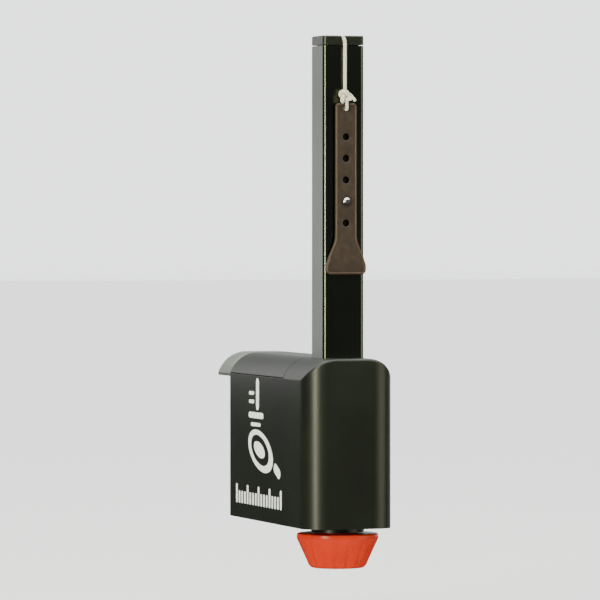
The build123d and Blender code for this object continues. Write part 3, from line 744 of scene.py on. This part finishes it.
handleProfile = roundedProfile([
    (clamp["radius"] + 0.02, handleHigh.z - 1.0, 0),
    (clamp["radius"] + 0.02, handleHigh.z, 0.2),
    (clamp["collar"] - 0.4, handleHigh.z, 0.4),
    (clamp["collar"], handleHigh.z - 1.2, 0.5),
    (clamp["handleRadius"], handleHigh.z - 1.2, 1.3),
    (clamp["handleRadius"], handleHigh.z - 4.5, 0),
    (clamp["handleRadius"], handleLow.z + 3.5, 0),
    (clamp["handleRadius"], handleLow.z, 1.6),
    (clamp["collar"] - 0.6, handleLow.z, 0.6),
    (clamp["collar"] - 1.4, handleLow.z + 0.7, 0.4),
    (0.0, handleLow.z + 0.7, 0),
])
thumbKnob = turnedMesh("thumbKnob", handleProfile, (0, 0), 144, handleReach)
finishPiece(thumbKnob, finishes["black_nylon"], "clamp_screw", ["thumb_knob"])

padProfile = roundedProfile([
    (clamp["tip"] + 0.07, padLow.z, 0),
    (clamp["padHub"], padLow.z, 0.5),
    (clamp["padHub"], padLow.z + clamp["padHubHeight"], 0.5),
    (clamp["padRadius"], padLow.z + clamp["padHubHeight"], 0.7),
    (clamp["padRadius"], padHigh.z, 0.7),
    (0.0, padHigh.z, 0),
])
clampPad = turnedMesh("clampPad", padProfile, (0, 0), 96)
sharpenEdges(clampPad, 45)
finishPiece(clampPad, finishes["zinc_steel"], "clamp_pad", ["clamp_pad"])

rubberLow, rubberHigh = (corner / mm for corner in map(Vector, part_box("pad_rubber")))
face, grooveFloor = rubberHigh.z, rubberHigh.z - clamp["grooveDepth"]
rubberCorners = [(0.0, face, 0)]
for groove in clamp["grooves"]:
    rubberCorners += [(groove, face, 0.15), (groove + 0.25, grooveFloor, 0.15),
                      (groove + 0.65, grooveFloor, 0.15), (groove + 0.9, face, 0.15)]
rubberCorners += [
    (clamp["rubberRadius"], face, 0.5),
    (clamp["rubberRadius"], rubberLow.z, 0),
    (0.0, rubberLow.z, 0),
]
padRubber = turnedMesh("padRubber", roundedProfile(rubberCorners, 3), (0, 0), 96)
sharpenEdges(padRubber, 45)
finishPiece(padRubber, finishes["grey_rubber"], "clamp_pad", ["pad_rubber"])
print("knobs, screw and pads done")


seatLow, seatHigh = (corner / mm for corner in map(Vector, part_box("seat_pad")))
seat = {
    "corner": 3.0,
    "ribs": 11,
    "ribHeight": 0.7,
    "ribWidth": 1.7,
    "ribCorner": 0.6,
    "ribSunk": 0.3,         # into the slab
    "ribShort": 0.3,        # at each end
    "endRibShort": 1.2,     # the first and last stop at the rounded corners
}


def roundedRectangle(left, bottom, right, top, corner, steps=5):
    return (arcPoints((right - corner, bottom + corner), corner, -90, 0, steps)
            + arcPoints((right - corner, top - corner), corner, 0, 90, steps)
            + arcPoints((left + corner, top - corner), corner, 90, 180, steps)
            + arcPoints((left + corner, bottom + corner), corner, 180, 270, steps))


def ontoSeat(across, up, out):
    return (across, up, out)


seatOutline = roundedRectangle(seatLow.x, seatLow.y, seatHigh.x, seatHigh.y, seat["corner"])
seatSlab = plateMesh("seatPad", [seatOutline], seatLow.z + seat["ribHeight"], seatHigh.z, 0.2, ontoSeat)
finishPiece(seatSlab, finishes["grey_rubber"], "frame", ["seat_pad"])
for rib in range(seat["ribs"]):
    middle = seatLow.y + (seatHigh.y - seatLow.y) * (rib + 0.5) / seat["ribs"]
    short = seat["endRibShort"] if rib in (0, seat["ribs"] - 1) else seat["ribShort"]
    bar = roundedRectangle(seatLow.x + short, middle - seat["ribWidth"] / 2, seatHigh.x - short,
                           middle + seat["ribWidth"] / 2, seat["ribCorner"], 3)
    ribPiece = plateMesh(f"seatRib{rib + 1}", [bar], seatLow.z, seatLow.z + seat["ribHeight"] + seat["ribSunk"],
                         0.25, ontoSeat)
    finishPiece(ribPiece, finishes["grey_rubber"], "frame")
print("seat rubber done")


shellLow = Vector(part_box("body_shell")[0]) / mm
printed = {
    "thickness": 0.05,
    "sink": 0.01,
    # strokes are (start, end, width), across from the nose and up from the rail seat
    "post": [
        ((80, 0), (80, -11.5), 4.6),
        ((86.5, -5.4), (93, -5.4), 1.8),
        ((86.5, -9.6), (93, -9.6), 1.8),
        ((72, -16.4), (93, -16.4), 3.0),
        ((76, -21), (90, -21), 1.8),
    ],
    # ovals are (centre, half width, half height); the bat is a ring, a middle and a grip
    "batRing": ((75, -34), 20.5, 9.6),
    "batHollow": ((76, -33.6), 15.0, 6.9),
    "batMiddle": ((77, -33.4), 9.0, 3.6),
    "batTilt": 14,
    "batGrip": ((51, -41.5), (45.5, -44), 5.0),
    # the ruler along the foot of the side
    "bars": 17,
    "barsFrom": 41.0,
    "barsFoot": -61.6,
    "barPitch": 4.5,
    "barWidth": 2.6,
    "barCorner": 0.8,
    "barHeight": 6.2,
    "tallBar": 9.6,
    "tallEvery": 4,
}


def ontoSide(across, up, out):
    # across runs back from the nose, out is away from the housing
    return (shellLow.x + printed["sink"] - out, shellLow.y + across, up)


def slantedBar(start, end, width):
    # a straight stroke with round ends
    a, b = Vector(start), Vector(end)
    turn = Vector((1, 0)).angle_signed((b - a).normalized()) * -180 / pi
    return arcPoints(b, width / 2, turn - 90, turn + 90) + arcPoints(a, width / 2, turn + 90, turn + 270)


def ovalLoop(centre, wide, tall, steps=40, clockwise=False):
    tilt = radians(printed["batTilt"])
    points = []
    for k in range(steps):
        t = 2 * pi * k / steps * (-1 if clockwise else 1)
        a, b = wide * cos(t), tall * sin(t)
        points.append((centre[0] + a * cos(tilt) - b * sin(tilt), centre[1] + a * sin(tilt) + b * cos(tilt)))
    return points


rulerBars = []
for bar in range(printed["bars"]):
    left, foot = printed["barsFrom"] + printed["barPitch"] * bar, printed["barsFoot"]
    right = left + printed["barWidth"]
    top = foot + (printed["barHeight"] if bar % printed["tallEvery"] else printed["tallBar"])
    rulerBars.append([roundedRectangle(left, foot, right, top, printed["barCorner"], 4)])
printMarks = {
    "postMark": [[slantedBar(*stroke)] for stroke in printed["post"]],
    "batMark": [
        [ovalLoop(*printed["batRing"]), ovalLoop(*printed["batHollow"], clockwise=True)],
        [ovalLoop(*printed["batMiddle"])],
        [slantedBar(*printed["batGrip"])],
    ],
    "scaleMark": rulerBars,
}
inkFace = printed["sink"] + printed["thickness"]
for markName, strokes in printMarks.items():
    for number, loops in enumerate(strokes):
        stroke = plateMesh(f"{markName}{number + 1}", loops, 0.0, inkFace, 0.0, ontoSide)
        finishPiece(stroke, inkFinish, "frame")
print("print done")


studio = {
    "floorBelow": 30,         # mm under the lowest piece at rest, as the clamp hangs from its rail
    "floorSize": 24000,
    "floorShade": "#eff0ed",
    "skyShade": "#f2f4f4",
    # the sky is a bright band behind the object and a soft light overhead, and dim elsewhere
    "backdropSide": (0.5, 0.866, 0.0),
    "backdropSpread": (0.74, 0.965),        # cosines where the band begins and where it is full
    "backdropStrength": (0.07, 2.6),
    "bandFoot": (-0.06, -0.01),         # heights of a direction, from -1 down to 1 up
    "bandTop": (0.08, 0.2),
    "aboveBand": 0.08,
    "overheadHeight": (0.4, 0.9),
    "overheadStrength": (0.05, 4.4),
}
floorMaterial, _, floorShader, _ = startMaterial("pale studio floor", {"Roughness": 0.8})
floorShader.inputs["Base Color"].default_value = linearColour(studio["floorShade"])
floorMesh = bpy.data.meshes.new("floor")
reach, level = studio["floorSize"] * mm / 2, low.z - studio["floorBelow"] * mm
floorCorners = [(-reach, -reach, level), (reach, -reach, level), (reach, reach, level), (-reach, reach, level)]
floorMesh.from_pydata(floorCorners, [], [(0, 1, 2, 3)])
floorMesh.materials.append(floorMaterial)
floorObject = bpy.data.objects.new("floor", floorMesh)
bpy.context.scene.collection.objects.link(floorObject)
floorObject.visible_glossy = False        # black mouldings would otherwise mirror the whole floor

world = bpy.data.worlds.new("studio")
bpy.context.scene.world = world
world.use_nodes = True
sky = world.node_tree
background = sky.nodes["Background"]
background.inputs["Color"].default_value = linearColour(studio["skyShade"])
direction = addNode(sky, "ShaderNodeTexCoord").outputs["Generated"]
height = addNode(sky, "ShaderNodeSeparateXYZ", links={"Vector": direction}).outputs["Z"]
facing = addNode(sky, "ShaderNodeVectorMath", links={0: direction}, inputs={1: studio["backdropSide"]},
                 operation="DOT_PRODUCT").outputs["Value"]
strengths = []      # each takes a range of its source to a range of strength
for source, spread, strength, shape in (
    (facing, studio["backdropSpread"], studio["backdropStrength"], "SMOOTHSTEP"),
    (height, studio["bandFoot"], (0.0, 1.0), "LINEAR"),
    (height, studio["bandTop"], (1.0, studio["aboveBand"]), "LINEAR"),
    (height, studio["overheadHeight"], studio["overheadStrength"], "LINEAR"),
):
    ramp = addNode(sky, "ShaderNodeMapRange", links={"Value": source}, interpolation_type=shape, inputs={
        "From Min": spread[0], "From Max": spread[1], "To Min": strength[0], "To Max": strength[1]})
    strengths.append(ramp.outputs["Result"])
backdrop, bandFoot, bandTop, overhead = strengths
band = addNode(sky, "ShaderNodeMath", links={0: backdrop, 1: bandFoot}, operation="MULTIPLY").outputs["Value"]
band = addNode(sky, "ShaderNodeMath", links={0: band, 1: bandTop}, operation="MULTIPLY").outputs["Value"]
total = addNode(sky, "ShaderNodeMath", links={0: band, 1: overhead}, operation="ADD").outputs["Value"]
sky.links.new(total, background.inputs["Strength"])

middle = (0, -0.08, 0.04)
softLights = {
    # place and aim in metres, width and height in metres, watts, colour
    "overhead": ((-0.3, -0.1, 1.6), middle, (1.6, 1.6), 6, "#fbfcea"),
    "leftStrip": ((-1.0, -0.83, 0.1), middle, (0.13, 0.9), 18, "#fffbdc"),
    "postCard": ((-0.1, 0.12, 0.14), (-0.01, -0.12, 0.1), (0.12, 0.28), 0.14, "#ffffff"),
    "rightCard": ((1.0, -0.75, 0.1), middle, (0.8, 0.9), 4.5, "#fffbd8"),
    "frontFill": ((-0.5, -1.2, 1.2), middle, (0.6, 0.6), 1.2, "#fff8e0"),
}
for name, (place, aim, size, power, shade) in softLights.items():
    light = bpy.data.lights.new(name, "AREA")
    light.shape = "RECTANGLE"
    light.size, light.size_y = size
    light.energy = power
    light.color = linearColour(shade)[:3]
    lamp = bpy.data.objects.new(name, light)
    lamp.location = place
    lamp.rotation_euler = (Vector(aim) - Vector(place)).to_track_quat("-Z", "Y").to_euler()
    lamp.visible_camera = False
    bpy.context.scene.collection.objects.link(lamp)
print("studio done")
